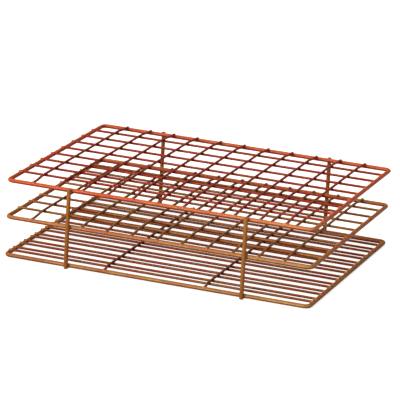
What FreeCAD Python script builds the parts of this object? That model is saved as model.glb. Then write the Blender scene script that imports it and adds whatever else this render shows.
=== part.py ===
import FreeCAD, Part
import math
import os

# Wire test tube rack: three rectangular tiers of welded, coated steel wire on four uprights.
# X runs along the length, Y from front to back, Z up. The origin is on the table, under the middle.
# All sizes are millimetres, and wire diameters are taken over the coating.

# Frames: one heavy wire each, bent to a rectangle
FRAME_LENGTH = 295.0       # outside, along X
FRAME_WIDTH = 222.0        # outside, along Y
FRAME_WIRE = 3.8           # diameter, also that of the uprights
CORNER_BEND = 5.0          # bend radius of a corner, to the centre line of the wire

# Grids: thin wires that part the tier into tube cells
GRID_WIRE = 2.3            # diameter, also that of the tube supports
COLUMNS = 12               # tube cells along X
ROWS = 9                   # tube cells along Y
END_COLUMN_EXTRA = 1.0     # how much wider than the others the outermost columns are
END_ROW_EXTRA = 2.9        # how much deeper than the others the outermost rows are

# Bottom tier: two support wires under each row of tubes, and a few wires across them
SUPPORT_SPACING = 9.3      # between the two wires under one row
BOTTOM_CROSS_CELLS = 2     # the two cross wires lie this many cells from the middle

# Height
MIDDLE_RISE = 35.8         # from the bottom frame to the middle frame, centre to centre
TOP_RISE = 70.2            # from the bottom frame to the top frame
FOOT_DROP = 0.5            # how far the uprights reach below the bottom frame

# Uprights
UPRIGHT_CELLS = 3.5        # they stand this many cells from the middle, between two cross wires

# Welds and wire ends
FRAME_WELD = 1.2           # how deep a thin wire is pressed into a frame wire
GRID_WELD = 0.6            # how deep two thin wires are pressed into each other
UPRIGHT_WELD = 0.25        # how deep an upright is pressed into a frame wire
WELD_OVERLAP = 0.03        # a thin wire's seat is this much short of the wire under it, where they fuse
END_REACH = 1.4            # how far a grid wire's end passes the centre line of the frame wire
PRESS_GAP = 0.8            # straight wire beside the weld before a cross wire starts to bend
WIRE_TIP_ROUND = 0.6       # the coating rounds the cut end of a thin wire
UPRIGHT_TIP_ROUND = 0.5    # and that of an upright

TINY = 0.01                # two places nearer than this are the same place

# What follows from them
half_length = (FRAME_LENGTH - FRAME_WIRE) / 2
half_width = (FRAME_WIDTH - FRAME_WIRE) / 2
column_pitch = 2 * (half_length - END_COLUMN_EXTRA) / COLUMNS
row_pitch = 2 * (half_width - END_ROW_EXTRA) / ROWS
frame_to_wire = (FRAME_WIRE + GRID_WIRE) / 2 - FRAME_WELD
wire_to_wire = GRID_WIRE - GRID_WELD
frame_to_upright = FRAME_WIRE - UPRIGHT_WELD
bottom_level = FOOT_DROP + FRAME_WIRE / 2
middle_level = bottom_level + MIDDLE_RISE
top_level = bottom_level + TOP_RISE
upright_top = top_level + FRAME_WIRE / 2


def frame(level):
    """A closed rectangle of heavy wire with bent corners, its centre line at the given height."""
    straight_x = half_length - CORNER_BEND
    straight_y = half_width - CORNER_BEND
    path_start = FreeCAD.Vector(-straight_x, -half_width, level)
    last_end = path_start
    edges = []
    for side_x, side_y, first_angle in ((1, -1, -90), (1, 1, 0), (-1, 1, 90), (-1, -1, 180)):
        centre = FreeCAD.Vector(side_x * straight_x, side_y * straight_y, level)
        bend = []
        for angle in (first_angle, first_angle + 45, first_angle + 90):
            direction = FreeCAD.Vector(math.cos(math.radians(angle)), math.sin(math.radians(angle)), 0)
            bend.append(centre + direction * CORNER_BEND)
        edges.append(Part.LineSegment(last_end, bend[0]).toShape())
        edges.append(Part.Arc(*bend).toShape())
        last_end = bend[2]
    section = Part.Wire(Part.makeCircle(FRAME_WIRE / 2, path_start, FreeCAD.Vector(1, 0, 0)))
    return Part.Wire(edges).makePipeShell([section], True, True)


def round_tips(wire, radius):
    """Round the two cut ends of a straight wire, which are its only closed edges."""
    return wire.makeFillet(radius, [edge for edge in wire.Edges if edge.isClosed()])


def seat_along_x(y, z, wire_size):
    """What a wire along X, lying under another wire, takes out of it at their weld."""
    start = FreeCAD.Vector(-half_length, y, z)
    return Part.makeCylinder(wire_size / 2 - WELD_OVERLAP, 2 * half_length, start, FreeCAD.Vector(1, 0, 0))


def seat_along_y(x, z, wire_size):
    """The same for a wire along Y."""
    start = FreeCAD.Vector(x, -half_width, z)
    return Part.makeCylinder(wire_size / 2 - WELD_OVERLAP, 2 * half_width, start, FreeCAD.Vector(0, 1, 0))


def long_wire(y, level):
    """A straight thin wire along X, welded down onto the two short sides of a frame."""
    length = 2 * (half_length + END_REACH)
    start = FreeCAD.Vector(-length / 2, y, level + frame_to_wire)
    wire = Part.makeCylinder(GRID_WIRE / 2, length, start, FreeCAD.Vector(1, 0, 0))
    seats = [seat_along_y(side * half_length, level, FRAME_WIRE) for side in (-1, 1)]
    return round_tips(wire, WIRE_TIP_ROUND).cut(seats).Solids[0]


def press_bend(start, end):
    """Two equal arcs that lead a wire from one height to another, level at both ends."""
    halfway = (start + end) * 0.5
    chord = halfway - start
    turn = 2 * math.atan2(chord.z, chord.y)
    bulge = FreeCAD.Vector(0, -chord.z, chord.y) * (math.tan(turn / 4) / 2)
    first = Part.Arc(start, (start + halfway) * 0.5 - bulge, halfway)
    second = Part.Arc(halfway, (halfway + end) * 0.5 + bulge, end)
    return [first.toShape(), second.toShape()]


def cross_wire(x, level, crossings):
    """A thin wire along Y, welded down onto the long wires and, at its two bent ends, onto the frame.

    crossings are the places along Y of the wires under it.
    """
    low = level + frame_to_wire
    high = low + wire_to_wire
    end = half_width + END_REACH
    bend_low = half_width - FRAME_WIRE / 2 - PRESS_GAP
    bend_high = max(crossings) + GRID_WIRE / 2 + PRESS_GAP
    half_route = [(end, low), (bend_low, low), (bend_high, high)]
    points = [FreeCAD.Vector(x, -y, z) for y, z in half_route]
    points += [FreeCAD.Vector(x, y, z) for y, z in reversed(half_route)]
    edges = [Part.LineSegment(points[0], points[1]).toShape()]
    edges += press_bend(points[1], points[2])
    edges += [Part.LineSegment(points[2], points[3]).toShape()]
    edges += press_bend(points[3], points[4])
    edges += [Part.LineSegment(points[4], points[5]).toShape()]
    section = Part.Wire(Part.makeCircle(GRID_WIRE / 2, points[0], FreeCAD.Vector(0, 1, 0)))
    wire = Part.Wire(edges).makePipeShell([section], True, True)
    tips = [edge for edge in wire.Edges if abs(abs(edge.BoundBox.Center.y) - end) < TINY]
    seats = [seat_along_x(side * half_width, level, FRAME_WIRE) for side in (-1, 1)]
    seats += [seat_along_x(y, low, GRID_WIRE) for y in crossings]
    return wire.makeFillet(WIRE_TIP_ROUND, tips).cut(seats).Solids[0]


def upright(side_x, side_y):
    """A straight heavy wire on the outside of the three frames, from the table to the top tier."""
    x = side_x * UPRIGHT_CELLS * column_pitch
    y = side_y * (half_width + frame_to_upright)
    wire = Part.makeCylinder(FRAME_WIRE / 2, upright_top, FreeCAD.Vector(x, y, 0), FreeCAD.Vector(0, 0, 1))
    return round_tips(wire, UPRIGHT_TIP_ROUND)


def save(name, shape):
    shape.exportStep("parts/" + name + ".step")


def make_grid_tier(name, level):
    """A frame with long wires between the rows and cross wires between the columns."""
    save(name + "_frame", frame(level))
    crossings = [(number - ROWS / 2) * row_pitch for number in range(1, ROWS)]
    for number, y in enumerate(crossings, 1):
        save(name + "_long_wire_" + str(number), long_wire(y, level))
    for number in range(1, COLUMNS):
        x = (number - COLUMNS / 2) * column_pitch
        save(name + "_cross_wire_" + str(number), cross_wire(x, level, crossings))


def make_bottom_tier(level):
    """A frame with two support wires under the middle of each row, and two wires across them."""
    save("bottom_frame", frame(level))
    crossings = []
    for number in range(1, ROWS + 1):
        row_y = (number - (ROWS + 1) / 2) * row_pitch
        pair_y = [row_y + side * SUPPORT_SPACING / 2 for side in (-1, 1)]
        save("support_wire_pair_" + str(number), Part.makeCompound([long_wire(y, level) for y in pair_y]))
        crossings += pair_y
    for number, side in ((1, -1), (2, 1)):
        x = side * BOTTOM_CROSS_CELLS * column_pitch
        save("bottom_cross_wire_" + str(number), cross_wire(x, level, crossings))


os.makedirs("parts", exist_ok=True)
make_bottom_tier(bottom_level)
make_grid_tier("middle", middle_level)
make_grid_tier("top", top_level)
for depth_name, side_y in (("front", -1), ("back", 1)):
    for width_name, side_x in (("left", -1), ("right", 1)):
        save("upright_" + depth_name + "_" + width_name, upright(side_x, side_y))
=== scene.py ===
import math
import random

import bmesh
import bpy
from mathutils import Matrix, Vector


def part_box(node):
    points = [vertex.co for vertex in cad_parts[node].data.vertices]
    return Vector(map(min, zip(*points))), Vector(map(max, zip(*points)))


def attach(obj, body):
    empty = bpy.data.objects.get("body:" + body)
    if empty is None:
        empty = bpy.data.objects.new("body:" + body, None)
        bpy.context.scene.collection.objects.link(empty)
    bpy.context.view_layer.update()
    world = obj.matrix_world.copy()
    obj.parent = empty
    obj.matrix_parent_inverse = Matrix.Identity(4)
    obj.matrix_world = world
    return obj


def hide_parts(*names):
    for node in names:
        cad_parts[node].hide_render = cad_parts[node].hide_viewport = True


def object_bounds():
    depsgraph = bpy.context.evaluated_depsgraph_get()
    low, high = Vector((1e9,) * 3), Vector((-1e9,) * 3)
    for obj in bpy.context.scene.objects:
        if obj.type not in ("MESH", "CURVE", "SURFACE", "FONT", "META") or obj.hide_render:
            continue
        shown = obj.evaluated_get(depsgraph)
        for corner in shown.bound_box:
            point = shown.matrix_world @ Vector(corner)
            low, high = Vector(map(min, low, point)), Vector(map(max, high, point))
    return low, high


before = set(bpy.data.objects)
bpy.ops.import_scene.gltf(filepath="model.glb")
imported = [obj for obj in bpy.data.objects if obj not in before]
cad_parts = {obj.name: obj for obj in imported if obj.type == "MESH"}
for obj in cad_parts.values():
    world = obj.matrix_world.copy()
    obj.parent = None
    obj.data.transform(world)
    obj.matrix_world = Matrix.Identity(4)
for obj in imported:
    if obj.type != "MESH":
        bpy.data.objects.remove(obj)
cad_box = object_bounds()


# ---------------------------------------------------------------------------------------------
# The three frames. Each is one heavy steel wire, bent round four corners and butt welded shut
# in the middle of its back side, where the seam is ground down to a faint swelling.
# The finished rack is dipped in epoxy, so this section also mixes the coat every wire wears.
# ---------------------------------------------------------------------------------------------

HEAVY_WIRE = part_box("upright_front_left")[1].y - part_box("upright_front_left")[0].y
CORNER_BEND = 0.005
BEND_STEPS = 10
HEAVY_FACETS = 28
SEAM_STEPS = 4
SEAM_SWELLING = 0.00012
SEAM_LENGTH = 0.0016


def skin_wire(name, stations, side, facets, closed=False):
    """Close a skin round a wire. A station is the wire's centre, direction and radius at one place."""
    skin = bmesh.new()
    rings = []
    for centre, direction, radius in stations:
        upward = direction.normalized().cross(side)
        ring = []
        for number in range(facets):
            turn = math.tau * number / facets
            ring.append(skin.verts.new(centre + radius * (math.cos(turn) * side + math.sin(turn) * upward)))
        rings.append(ring)
    spans = list(zip(rings, rings[1:]))
    if closed:
        spans.append((rings[-1], rings[0]))
    for near, far in spans:
        for number in range(facets):
            after = (number + 1) % facets
            skin.faces.new((near[number], near[after], far[after], far[number]))
    if not closed:
        skin.faces.new(rings[0])
        skin.faces.new(reversed(rings[-1]))
    return mesh_piece(name, skin)


def mesh_piece(name, skin):
    """Turn a skin into a piece of the rack, smooth but for the flat cut ends of its wires."""
    bmesh.ops.recalc_face_normals(skin, faces=skin.faces)
    for face in skin.faces:
        face.smooth = len(face.verts) <= 4
    mesh = bpy.data.meshes.new(name)
    skin.to_mesh(mesh)
    skin.free()
    piece = bpy.data.objects.new(name, mesh)
    bpy.context.collection.objects.link(piece)
    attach(piece, "root")
    return piece


def frame_stations(node):
    """Stations along a frame's centre line, from the middle of its back side all the way round."""
    low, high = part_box(node)
    radius = HEAVY_WIRE / 2
    straight_x = high.x - radius - CORNER_BEND
    straight_y = high.y - radius - CORNER_BEND
    level = (low.z + high.z) / 2
    stations = []
    for step in range(-SEAM_STEPS, SEAM_STEPS + 1):
        x = -step * SEAM_LENGTH / 2
        swelling = SEAM_SWELLING * math.exp(-(x / SEAM_LENGTH) ** 2 * 2)
        centre = Vector((x, straight_y + CORNER_BEND, level))
        stations.append((centre, Vector((-1, 0, 0)), radius + swelling))
    for side_x, side_y, first_angle in ((-1, 1, 90), (-1, -1, 180), (1, -1, 270), (1, 1, 0)):
        middle = Vector((side_x * straight_x, side_y * straight_y, level))
        for step in range(BEND_STEPS + 1):
            angle = math.radians(first_angle + 90 * step / BEND_STEPS)
            outward = Vector((math.cos(angle), math.sin(angle), 0))
            along = Vector((-math.sin(angle), math.cos(angle), 0))
            stations.append((middle + outward * CORNER_BEND, along, radius))
    return stations


def place(tree, kind, inputs, **settings):
    """Put a node in a tree with its settings, and link or set its inputs."""
    node = tree.nodes.new(kind)
    for name, value in settings.items():
        setattr(node, name, value)
    for name, value in inputs.items():
        if isinstance(value, bpy.types.NodeSocket):
            tree.links.new(value, node.inputs[name])
        else:
            node.inputs[name].default_value = value
    return node


def cloud(tree, position, size, detail=2.0):
    """A soft random value whose patches are about `size` metres across."""
    settings = {"Vector": position, "Scale": 1 / size, "Detail": detail, "Roughness": 0.5}
    return place(tree, "ShaderNodeTexNoise", settings).outputs[0]


def between(tree, value, low, high, out_low=0.0, out_high=1.0):
    """Carry a value from one range to another, and hold it inside."""
    limits = {"Value": value, "From Min": low, "From Max": high, "To Min": out_low, "To Max": out_high}
    return place(tree, "ShaderNodeMapRange", limits).outputs["Result"]


def times(tree, first, second):
    """One value times another."""
    return place(tree, "ShaderNodeMath", {0: first, 1: second}, operation="MULTIPLY").outputs[0]


def plus(tree, first, second):
    """One value plus another."""
    return place(tree, "ShaderNodeMath", {0: first, 1: second}, operation="ADD").outputs[0]


def tint(tree, amount, under, over):
    """Lay one colour over another."""
    return place(tree, "ShaderNodeMix", {0: amount, 6: under, 7: over}, data_type="RGBA").outputs[2]


def mix_dipped_epoxy():
    """The epoxy's look as a group: what colour, gloss and relief it has at each place, with a painted
    highlight, painted shade and painted front light in its colour.
    """
    group = bpy.data.node_groups.new("dipped_epoxy", "ShaderNodeTree")
    for name in ("Coat", "Highlight", "Shade and dark coat", "Amber cast", "Cut end colour"):
        group.interface.new_socket(name, in_out="INPUT", socket_type="NodeSocketColor")
    for name in ("Amber amount", "Painted front light", "Cut end"):
        group.interface.new_socket(name, in_out="INPUT", socket_type="NodeSocketFloat")
    group.interface.new_socket("Colour", in_out="OUTPUT", socket_type="NodeSocketColor")
    for name in ("Roughness", "Height"):
        group.interface.new_socket(name, in_out="OUTPUT", socket_type="NodeSocketFloat")

    given = place(group, "NodeGroupInput", {}).outputs
    position = place(group, "ShaderNodeTexCoord", {}).outputs["Object"]
    facing = place(group, "ShaderNodeNewGeometry", {}).outputs["Normal"]
    upward = place(group, "ShaderNodeSeparateXYZ", {"Vector": facing}).outputs["Z"]

    # the coat drifts at random from red-orange to amber along the wires and mottles finely, and towards
    # the front and its right end it is painted lighter amber, as painted front light
    drift = times(group, between(group, cloud(group, position, 0.034), 0.42, 0.62), given["Amber amount"])
    to_front_right = {0: position, 1: (0.25, -0.97, 0.0)}
    how_far = place(group, "ShaderNodeVectorMath", to_front_right, operation="DOT_PRODUCT").outputs["Value"]
    front_light_share = between(group, plus(group, how_far, times(group, drift, 0.02)), 0.095, 0.135)
    amber = plus(group, drift, times(group, front_light_share, given["Painted front light"]))
    colour = tint(group, amber, given["Coat"], given["Amber cast"])
    mottle = between(group, cloud(group, position, 0.004, 3.0), 0.35, 0.75, 0.0, 0.30)
    colour = tint(group, mottle, colour, given["Shade and dark coat"])

    # painted highlight: a wire's upward-facing crown is painted lighter; painted shade: its underside is
    # painted dark
    crown_highlight_and_scuff_area = between(group, upward, 0.45, 0.95)
    crown_highlight_and_scuff_area = times(group, crown_highlight_and_scuff_area, between(group, cloud(group, position, 0.006), 0.3, 0.6, 0.5, 0.9))
    colour = tint(group, crown_highlight_and_scuff_area, colour, given["Highlight"])
    # painted shade: the underside is darkened towards the thick-coat colour
    underside_shade = between(group, upward, 0.25, -0.35)
    underside_shade = times(group, underside_shade, between(group, cloud(group, position, 0.012), 0.25, 0.65, 0.80, 1.0))
    colour = tint(group, underside_shade, colour, given["Shade and dark coat"])

    # glass and fingers rub the crown in short dull scuffs, and dust specks were coated in
    scuffs = times(group, between(group, cloud(group, position, 0.0016, 4.0), 0.56, 0.66), crown_highlight_and_scuff_area)
    speck_cells = {"Vector": position, "Scale": 260.0, "Randomness": 1.0}
    speck_distance = place(group, "ShaderNodeTexVoronoi", speck_cells).outputs["Distance"]
    specks = between(group, speck_distance, 0.075, 0.045, 0.0, 0.6)
    colour = tint(group, specks, colour, given["Shade and dark coat"])

    # over the last half millimetre to each cut end the colour is darkened towards the cut end colour
    colour = tint(group, given["Cut end"], colour, given["Cut end colour"])

    gloss = between(group, cloud(group, position, 0.010), 0.3, 0.7, 0.22, 0.32)
    gloss = plus(group, gloss, times(group, scuffs, 0.25))
    gloss = plus(group, gloss, times(group, given["Cut end"], 0.20))

    # orange peel, in two sizes, with the specks standing up from it
    peel = plus(group, cloud(group, position, 0.0022), times(group, cloud(group, position, 0.0006), 0.25))
    relief = plus(group, peel, times(group, specks, 0.5))

    place(group, "NodeGroupOutput", {"Colour": colour, "Roughness": gloss, "Height": relief})
    return group


dipped_epoxy = mix_dipped_epoxy()

# In each coat the crown colour is a painted highlight, the thick-coat colour is both painted shade for the
# undersides and the dark of the mottle and specks, and the front amount sets how much painted front light the
# front gets
TOP_HEAVY_COAT = {
    "Coat": (0.440, 0.058, 0.016, 1),
    "Highlight": (0.480, 0.090, 0.030, 1),
    "Shade and dark coat": (0.190, 0.022, 0.006, 1),
    "Amber cast": (0.440, 0.190, 0.050, 1),
    "Cut end colour": (0.045, 0.018, 0.014, 1),
    "Amber amount": 0.15,
    "Painted front light": 0.80,
}
MIDDLE_HEAVY_COAT = {
    "Coat": (0.350, 0.090, 0.020, 1),
    "Highlight": (0.400, 0.130, 0.034, 1),
    "Shade and dark coat": (0.120, 0.030, 0.006, 1),
    "Amber cast": (0.350, 0.190, 0.046, 1),
    "Cut end colour": (0.040, 0.020, 0.012, 1),
    "Amber amount": 0.60,
    "Painted front light": 0.50,
}
BOTTOM_HEAVY_COAT = dict(MIDDLE_HEAVY_COAT, Coat=(0.260, 0.085, 0.022, 1), Highlight=(0.290, 0.110, 0.030, 1))


def coated_steel(name, coat, cut_axis=None, cut_at=0.0):
    """Steel under epoxy. cut_axis is the axis along which the wire was cut, at plus and minus cut_at."""
    cut_rim = 0.0005
    material = bpy.data.materials.new(name)
    material.use_nodes = True
    tree = material.node_tree
    tree.nodes.clear()
    coating = place(tree, "ShaderNodeGroup", {}, node_tree=dipped_epoxy)
    for socket, value in coat.items():
        coating.inputs[socket].default_value = value
    if cut_axis:
        position = place(tree, "ShaderNodeTexCoord", {}).outputs["Object"]
        along = place(tree, "ShaderNodeSeparateXYZ", {"Vector": position}).outputs[cut_axis]
        from_middle = place(tree, "ShaderNodeMath", {0: along}, operation="ABSOLUTE").outputs[0]
        cut_end = between(tree, from_middle, cut_at - cut_rim, cut_at, 0.0, 0.55)
        tree.links.new(cut_end, coating.inputs["Cut end"])
    relief = place(tree, "ShaderNodeBump", {
        "Height": coating.outputs["Height"],
        "Strength": 0.35,
        "Distance": 0.0002,
    })
    surface = place(tree, "ShaderNodeBsdfPrincipled", {
        "Base Color": coating.outputs["Colour"],
        "Roughness": coating.outputs["Roughness"],
        "Normal": relief.outputs["Normal"],
        "IOR": 1.5,
        "Specular IOR Level": 0.08,
        "Specular Tint": (1.0, 0.50, 0.25, 1),
        "Coat Weight": 0.13,
        "Coat Roughness": 0.16,
    })
    place(tree, "ShaderNodeOutputMaterial", {"Surface": surface.outputs[0]})
    return material


heavy_top_coat = coated_steel("heavy_wire_top_coat", TOP_HEAVY_COAT)
heavy_middle_coat = coated_steel("heavy_wire_middle_coat", MIDDLE_HEAVY_COAT)
heavy_bottom_coat = coated_steel("heavy_wire_bottom_coat", BOTTOM_HEAVY_COAT)
for node, coat, slot in (
    ("bottom_frame", heavy_bottom_coat, "lower_tier_coating"),
    ("middle_frame", heavy_middle_coat, "lower_tier_coating"),
    ("top_frame", heavy_top_coat, "top_tier_coating"),
):
    bent_frame = skin_wire(node + "_wire", frame_stations(node), Vector((0, 0, 1)), HEAVY_FACETS, closed=True)
    bent_frame.data.materials.append(coat)
    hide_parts(node)


# ---------------------------------------------------------------------------------------------
# The long wires and the tube supports: thin steel wire along the rack, straightened, sheared to
# length and resistance welded down onto the two short sides of a frame. The coat rounds the
# sheared ends.
# ---------------------------------------------------------------------------------------------

THIN_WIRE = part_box("top_long_wire_1")[1].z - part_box("top_long_wire_1")[0].z
THIN_FACETS = 16
LONG_WIRES = 8
SUPPORT_PAIRS = 9
THIN_TIP_ROUNDING = 0.0006


def sheared_ends(line, radius, rounding):
    """Stations along an open wire: level stretches between its points, and a rounded rim at each end."""
    rim_steps = 3
    stations = []
    for number, point in enumerate(line):
        before = line[max(number - 1, 0)]
        after = line[min(number + 1, len(line) - 1)]
        stations.append((point, (after - before).normalized(), radius))
    for end, inward in ((0, 1), (-1, -1)):
        tip, direction, _ = stations[end]
        rim = []
        for step in range(rim_steps + 1):
            angle = math.pi / 2 * step / rim_steps
            depth = rounding * (1 - math.sin(angle))
            ring_radius = radius - rounding * (1 - math.cos(angle))
            rim.append((tip + inward * direction * depth, direction, ring_radius))
        if end == 0:
            stations = rim[::-1] + stations[1:]
        else:
            stations = stations[:-1] + rim
    return stations


# Here too the crown colour is a painted highlight, the thick-coat colour is painted shade for the undersides
# and the dark of mottle and specks, and the front amount is painted front light
TOP_THIN_COAT = {
    "Coat": (0.255, 0.014, 0.004, 1),
    "Highlight": (0.320, 0.026, 0.009, 1),
    "Shade and dark coat": (0.085, 0.003, 0.001, 1),
    "Amber cast": (0.297, 0.075, 0.020, 1),
    "Cut end colour": (0.040, 0.014, 0.010, 1),
    "Amber amount": 0.15,
    "Painted front light": 0.60,
}
BOTTOM_THIN_COAT = {
    "Coat": (0.195, 0.025, 0.006, 1),
    "Highlight": (0.260, 0.048, 0.012, 1),
    "Shade and dark coat": (0.058, 0.005, 0.001, 1),
    "Amber cast": (0.209, 0.092, 0.021, 1),
    "Cut end colour": (0.035, 0.015, 0.009, 1),
    "Amber amount": 0.50,
    "Painted front light": 0.60,
}
MIDDLE_THIN_COAT = {
    "Coat": (0.190, 0.047, 0.009, 1),
    "Highlight": (0.330, 0.120, 0.028, 1),
    "Shade and dark coat": (0.060, 0.012, 0.002, 1),
    "Amber cast": (0.290, 0.145, 0.030, 1),
    "Cut end colour": (0.035, 0.017, 0.009, 1),
    "Amber amount": 0.75,
    "Painted front light": 0.50,
}
LONG_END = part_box("top_long_wire_1")[1].x
long_top_coat = coated_steel("long_wire_top_coat", TOP_THIN_COAT, "X", LONG_END)
long_middle_coat = coated_steel("long_wire_middle_coat", MIDDLE_THIN_COAT, "X", LONG_END)
support_coat = coated_steel("support_wire_coat", BOTTOM_THIN_COAT, "X", LONG_END)


def long_stations(y, z):
    """Stations along a straight wire that runs the length of the rack at one depth and height."""
    line = [Vector((side * LONG_END, y, z)) for side in (-1, 1)]
    return sheared_ends(line, THIN_WIRE / 2, THIN_TIP_ROUNDING)


for tier, coat, slot in (
    ("middle", long_middle_coat, "lower_tier_coating"),
    ("top", long_top_coat, "top_tier_coating"),
):
    for number in range(1, LONG_WIRES + 1):
        node = tier + "_long_wire_" + str(number)
        low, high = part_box(node)
        stations = long_stations((low.y + high.y) / 2, (low.z + high.z) / 2)
        wire = skin_wire(node + "_skin", stations, Vector((0, 1, 0)), THIN_FACETS)
        wire.data.materials.append(coat)
        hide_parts(node)

support_lines = []
for number in range(1, SUPPORT_PAIRS + 1):
    node = "support_wire_pair_" + str(number)
    low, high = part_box(node)
    for y in (low.y + THIN_WIRE / 2, high.y - THIN_WIRE / 2):
        support_lines.append(y)
        part_name = node + ("_front" if y < (low.y + high.y) / 2 else "_back")
        stations = long_stations(y, (low.z + high.z) / 2)
        wire = skin_wire(part_name, stations, Vector((0, 1, 0)), THIN_FACETS)
        wire.data.materials.append(support_coat)
        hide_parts(node)


# ---------------------------------------------------------------------------------------------
# The cross wires: thin steel wire from front to back, welded down onto the long wires, with
# both ends pressed down onto the long sides of the frame while the welds are made.
# ---------------------------------------------------------------------------------------------

GRID_CROSS_WIRES = 11
BOTTOM_CROSS_WIRES = 2
PRESS_STEPS = 9
PRESS_GAP = 0.0008
CROSS_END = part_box("top_cross_wire_1")[1].y
FRAME_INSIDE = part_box("top_frame")[1].y - HEAVY_WIRE
cross_top_coat = coated_steel("cross_wire_top_coat", TOP_THIN_COAT, "Y", CROSS_END)
cross_middle_coat = coated_steel("cross_wire_middle_coat", MIDDLE_THIN_COAT, "Y", CROSS_END)
cross_bottom_coat = coated_steel("cross_wire_bottom_coat", BOTTOM_THIN_COAT, "Y", CROSS_END)


def cross_line(node, last_crossing):
    """The centre line of a cross wire: high over the long wires, and eased down at both ends."""
    low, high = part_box(node)
    x = (low.x + high.x) / 2
    pressed_z = low.z + THIN_WIRE / 2
    riding_z = high.z - THIN_WIRE / 2
    pressed_y = FRAME_INSIDE - PRESS_GAP
    riding_y = last_crossing + THIN_WIRE / 2 + PRESS_GAP
    half = [Vector((x, CROSS_END, pressed_z))]
    for step in range(PRESS_STEPS + 1):
        share = step / PRESS_STEPS
        eased = share * share * (3 - 2 * share)
        y = pressed_y + (riding_y - pressed_y) * share
        half.append(Vector((x, y, pressed_z + (riding_z - pressed_z) * eased)))
    front = [Vector((point.x, -point.y, point.z)) for point in half]
    return front + half[::-1]


last_long_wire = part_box("top_long_wire_" + str(LONG_WIRES))[1].y - THIN_WIRE / 2
for tier, count, last_crossing, coat, slot in (
    ("bottom", BOTTOM_CROSS_WIRES, max(support_lines), cross_bottom_coat, "lower_tier_coating"),
    ("middle", GRID_CROSS_WIRES, last_long_wire, cross_middle_coat, "lower_tier_coating"),
    ("top", GRID_CROSS_WIRES, last_long_wire, cross_top_coat, "top_tier_coating"),
):
    for number in range(1, count + 1):
        node = tier + "_cross_wire_" + str(number)
        stations = sheared_ends(cross_line(node, last_crossing), THIN_WIRE / 2, THIN_TIP_ROUNDING)
        wire = skin_wire(node + "_skin", stations, Vector((1, 0, 0)), THIN_FACETS)
        wire.data.materials.append(coat)
        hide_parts(node)


# ---------------------------------------------------------------------------------------------
# The uprights: four straight pieces of the heavy wire, sheared and welded to the outside of the
# frames. The lower ends are the rack's feet, a little proud of the bottom frame.
# ---------------------------------------------------------------------------------------------

# The crown colour is a painted highlight, the thick-coat colour painted shade and the dark of mottle and
# specks, the front amount painted front light
UPRIGHT_COAT = {
    "Coat": (0.300, 0.085, 0.018, 1),
    "Highlight": (0.360, 0.120, 0.030, 1),
    "Shade and dark coat": (0.130, 0.030, 0.006, 1),
    "Amber cast": (0.320, 0.155, 0.030, 1),
    "Cut end colour": (0.045, 0.020, 0.012, 1),
    "Amber amount": 0.50,
    "Painted front light": 0.60,
}
UPRIGHT_TIP_ROUNDING = 0.0005
upright_coat = coated_steel("upright_coat", UPRIGHT_COAT)
upright_places = []
for depth in ("front", "back"):
    for width in ("left", "right"):
        node = "upright_" + depth + "_" + width
        low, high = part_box(node)
        middle = (low + high) / 2
        upright_places.append((middle.x, middle.y))
        line = [Vector((middle.x, middle.y, z)) for z in (low.z, high.z)]
        stations = sheared_ends(line, HEAVY_WIRE / 2, UPRIGHT_TIP_ROUNDING)
        upright = skin_wire(node + "_wire", stations, Vector((1, 0, 0)), HEAVY_FACETS)
        upright.data.materials.append(upright_coat)
        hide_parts(node)


# ---------------------------------------------------------------------------------------------
# The welds. Where two wires are pressed into each other the wet epoxy crept into the corners
# and set as a small smooth web all round the crossing. Each web dives just under the skin of
# both wires, so it only shows where it fills the corner.
# ---------------------------------------------------------------------------------------------

WEB_SUNK = 0.00004
WEB_LONGITUDES = 20
WEB_LATITUDES = 9
WEB_HALVINGS = 16


def soft_union(first, second, spread):
    """How far outside two joined bodies a place is, with their corner filled over `spread`."""
    nearness = max(spread - abs(first - second), 0) / spread
    return min(first, second) - nearness * nearness * spread / 4


def weld_web(lower_radius, upper_radius, depth, spread, reach, upper_end=None):
    """The places on a web round a weld, with the lower wire along x and the upper wire along y."""
    lower_z = -(lower_radius - depth / 2)
    upper_z = upper_radius - depth / 2

    def outside(place_at):
        to_lower = math.hypot(place_at.y, place_at.z - lower_z) - lower_radius
        to_upper = math.hypot(place_at.x, place_at.z - upper_z) - upper_radius
        if upper_end is not None:
            past_side = to_upper + THIN_TIP_ROUNDING
            past_end = place_at.y - upper_end + THIN_TIP_ROUNDING
            rim = math.hypot(max(past_side, 0), max(past_end, 0))
            to_upper = rim + min(max(past_side, past_end), 0) - THIN_TIP_ROUNDING
        return soft_union(to_lower, to_upper, spread) + WEB_SUNK

    def surface(direction):
        near, far = 0.0, reach
        if outside(direction * far) < 0:
            return direction * far
        for _ in range(WEB_HALVINGS):
            middle = (near + far) / 2
            if outside(direction * middle) < 0:
                near = middle
            else:
                far = middle
        return direction * near

    rows = []
    for latitude in range(1, WEB_LATITUDES + 1):
        tilt = math.pi * (latitude / (WEB_LATITUDES + 1) - 0.5)
        row = []
        for longitude in range(WEB_LONGITUDES):
            turn = math.tau * (longitude + 0.5) / WEB_LONGITUDES
            level_part = math.cos(tilt)
            direction = Vector((level_part * math.cos(turn), level_part * math.sin(turn), math.sin(tilt)))
            row.append(surface(direction))
        rows.append(row)
    return surface(Vector((0, 0, -1))), rows, surface(Vector((0, 0, 1)))


def hold_inside(point):
    """Keep the coat of a weld inside the rack's outline, where the dip was wiped."""
    low, high = cad_box
    return Vector([min(max(value, least), most) for value, least, most in zip(point, low, high)])


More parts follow.
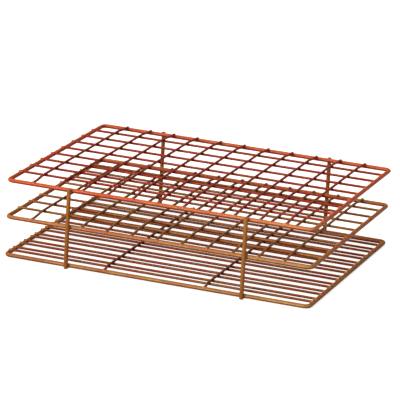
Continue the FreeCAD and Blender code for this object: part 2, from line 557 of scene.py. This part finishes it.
def lay_web(skin, web, where, lower_axis, upper_axis, lift):
    """Add a web to a skin, turned so that its x, y and z lie along the two wires and the lift."""
    bottom, rows, top = web
    turned = Matrix((lower_axis, upper_axis, lift)).transposed()

    def corner(point):
        return skin.verts.new(hold_inside(where + turned @ point))

    rings = [[corner(point) for point in row] for row in rows]
    for lower_ring, upper_ring in zip(rings, rings[1:]):
        for number in range(WEB_LONGITUDES):
            after = (number + 1) % WEB_LONGITUDES
            skin.faces.new((lower_ring[number], lower_ring[after], upper_ring[after], upper_ring[number]))
    for pole, ring in ((corner(bottom), rings[0]), (corner(top), rings[-1])):
        for number in range(WEB_LONGITUDES):
            skin.faces.new((pole, ring[number], ring[(number + 1) % WEB_LONGITUDES]))


thin_radius = THIN_WIRE / 2
heavy_radius = HEAVY_WIRE / 2
top_frame_low, top_frame_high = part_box("top_frame")
frame_z = (top_frame_low.z + top_frame_high.z) / 2
long_z = (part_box("top_long_wire_1")[0].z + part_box("top_long_wire_1")[1].z) / 2
riding_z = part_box("top_cross_wire_1")[1].z - thin_radius
FRAME_WELD_DEPTH = heavy_radius + thin_radius - (long_z - frame_z)
GRID_WELD_DEPTH = THIN_WIRE - (riding_z - long_z)
frame_side_x = top_frame_high.x - heavy_radius
frame_side_y = top_frame_high.y - heavy_radius
UPRIGHT_WELD_DEPTH = HEAVY_WIRE - (abs(upright_places[0][1]) - frame_side_y)

# each kind of web is made three times, from scant to full
CROSSING_SPREADS = (0.0009, 0.0011, 0.0013)
CROSSING_REACH = 0.0026
END_SPREADS = (0.0012, 0.0014, 0.0017)
END_REACH = 0.0032
crossing_webs = []
for spread in CROSSING_SPREADS:
    crossing_webs.append(weld_web(thin_radius, thin_radius, GRID_WELD_DEPTH, spread, CROSSING_REACH))
end_webs = []
for spread in END_SPREADS:
    past_frame = LONG_END - frame_side_x
    web = weld_web(heavy_radius, thin_radius, FRAME_WELD_DEPTH, spread, END_REACH, upper_end=past_frame)
    end_webs.append(web)
UPRIGHT_SPREAD = 0.0020
UPRIGHT_REACH = 0.0042
upright_low, upright_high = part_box("upright_front_left")

ALONG_X, ALONG_Y, ALONG_Z = Vector((1, 0, 0)), Vector((0, 1, 0)), Vector((0, 0, 1))
dip = random.Random(31)
long_lines = []
for number in range(1, LONG_WIRES + 1):
    low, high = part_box("top_long_wire_" + str(number))
    long_lines.append((low.y + high.y) / 2)
# the welds' crown colour is a lighter painted highlight than on the wires
TOP_WELD_COAT = dict(TOP_HEAVY_COAT, Coat=(0.440, 0.060, 0.017, 1), Highlight=(0.500, 0.105, 0.036, 1))
LOWER_WELD_COAT = dict(MIDDLE_HEAVY_COAT, Coat=(0.330, 0.090, 0.021, 1), Highlight=(0.400, 0.140, 0.038, 1))
for tier, count, lines, crossing_coat, end_coat, slot in (
    ("bottom", BOTTOM_CROSS_WIRES, support_lines, BOTTOM_THIN_COAT, LOWER_WELD_COAT, "lower_tier_coating"),
    ("middle", GRID_CROSS_WIRES, long_lines, MIDDLE_THIN_COAT, LOWER_WELD_COAT, "lower_tier_coating"),
    ("top", GRID_CROSS_WIRES, long_lines, TOP_THIN_COAT, TOP_WELD_COAT, "top_tier_coating"),
):
    tier_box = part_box(tier + "_frame")
    level = (tier_box[0].z + tier_box[1].z) / 2
    crossing_skin = bmesh.new()
    end_skin = bmesh.new()
    end_weld_z = level + heavy_radius - FRAME_WELD_DEPTH / 2
    crossing_z = level + (long_z - frame_z) + thin_radius - GRID_WELD_DEPTH / 2
    for number in range(1, count + 1):
        low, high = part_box(tier + "_cross_wire_" + str(number))
        x = (low.x + high.x) / 2
        for y in lines:
            where = Vector((x, y, crossing_z))
            lay_web(crossing_skin, dip.choice(crossing_webs), where, ALONG_X, ALONG_Y, ALONG_Z)
        for side in (-1, 1):
            where = Vector((x, side * frame_side_y, end_weld_z))
            lay_web(end_skin, dip.choice(end_webs), where, ALONG_X, side * ALONG_Y, ALONG_Z)
    for y in lines:
        for side in (-1, 1):
            where = Vector((side * frame_side_x, y, end_weld_z))
            lay_web(end_skin, dip.choice(end_webs), where, ALONG_Y, side * ALONG_X, ALONG_Z)
    for place_name, skin, coat in (("crossing", crossing_skin, crossing_coat), ("end", end_skin, end_coat)):
        webs = mesh_piece(tier + "_" + place_name + "_welds", skin)
        webs.data.materials.append(coated_steel(tier + "_" + place_name + "_weld_coat", coat))

skin = bmesh.new()
for tier in ("bottom", "middle", "top"):
    tier_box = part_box(tier + "_frame")
    level = (tier_box[0].z + tier_box[1].z) / 2
    to_end = ALONG_Z
    past_weld = upright_high.z - level
    if tier == "bottom":
        to_end = -ALONG_Z
        past_weld = level - upright_low.z
    depth = UPRIGHT_WELD_DEPTH
    web = weld_web(heavy_radius, heavy_radius, depth, UPRIGHT_SPREAD, UPRIGHT_REACH, upper_end=past_weld)
    for x, y in upright_places:
        side = math.copysign(1, y)
        where = Vector((x, side * (frame_side_y + heavy_radius - UPRIGHT_WELD_DEPTH / 2), level))
        lay_web(skin, web, where, ALONG_X, to_end, side * ALONG_Y)
upright_webs = mesh_piece("upright_welds", skin)
upright_webs.data.materials.append(upright_coat)


# ---------------------------------------------------------------------------------------------
# The studio: a pale seamless floor that shows white and throws a warm bounce up onto the wires,
# a low soft light from the front left, a broader one from above, a weak one from behind and
# slightly warm light from all round. The camera looks from the front right.
# ---------------------------------------------------------------------------------------------

FLOOR_HALF = 6.0
floor_mesh = bpy.data.meshes.new("floor")
floor_corners = [(-1, -1), (1, -1), (1, 1), (-1, 1)]
floor_mesh.from_pydata([(x * FLOOR_HALF, y * FLOOR_HALF, 0) for x, y in floor_corners], [], [(0, 1, 2, 3)])
floor = bpy.data.objects.new("floor", floor_mesh)
bpy.context.collection.objects.link(floor)
floor_paint = bpy.data.materials.new("pale_floor")
floor_paint.use_nodes = True
floor_tree = floor_paint.node_tree
floor_surface = floor_tree.nodes["Principled BSDF"].inputs
floor_surface["Base Color"].default_value = (0.80, 0.69, 0.63, 1)
floor_surface["Roughness"].default_value = 0.9
floor_surface["Emission Color"].default_value = (1.0, 0.985, 0.98, 1)
seen_directly = place(floor_tree, "ShaderNodeLightPath", {}).outputs["Is Camera Ray"]
floor_tree.links.new(times(floor_tree, seen_directly, 0.72), floor_surface["Emission Strength"])
floor_mesh.materials.append(floor_paint)


def broad_light(name, azimuth, elevation, spread, strength):
    """Light from far off, from one side and height, as soft as a lamp that fills `spread` degrees."""
    light = bpy.data.lights.new(name, "SUN")
    light.energy = strength
    light.angle = math.radians(spread)
    lamp = bpy.data.objects.new(name, light)
    lamp.rotation_mode = "XYZ"
    lamp.rotation_euler = (math.radians(90 - elevation), 0, math.radians(azimuth))
    bpy.context.collection.objects.link(lamp)


broad_light("front_light", -20, 15, 30, 3.1)
broad_light("overhead_light", -40, 62, 90, 1.4)
broad_light("back_light", 170, 55, 60, 0.55)

world = bpy.data.worlds.new("studio_air")
world.use_nodes = True
world.node_tree.nodes["Background"].inputs["Color"].default_value = (1.0, 0.86, 0.74, 1)
world.node_tree.nodes["Background"].inputs["Strength"].default_value = 0.25
bpy.context.scene.world = world
bpy.context.scene.view_settings.view_transform = "Standard"

CAMERA_AIM = Vector((-0.0056, 0.0114, 0.0448))
CAMERA_AZIMUTH = math.radians(20.43)
CAMERA_ELEVATION = math.radians(16.59)
CAMERA_ROLL = math.radians(3.18)
CAMERA_DISTANCE = 2.669
camera_data = bpy.data.cameras.new("camera")
camera_data.lens = 260.1
camera = bpy.data.objects.new("camera", camera_data)
bpy.context.collection.objects.link(camera)
backward = Vector((
    math.sin(CAMERA_AZIMUTH) * math.cos(CAMERA_ELEVATION),
    -math.cos(CAMERA_AZIMUTH) * math.cos(CAMERA_ELEVATION),
    math.sin(CAMERA_ELEVATION),
))
camera.rotation_mode = "QUATERNION"
level_view = (-backward).to_track_quat("-Z", "Y")
camera.rotation_quaternion = level_view @ Matrix.Rotation(CAMERA_ROLL, 3, "Z").to_quaternion()
camera.location = CAMERA_AIM + backward * CAMERA_DISTANCE
bpy.context.scene.camera = camera
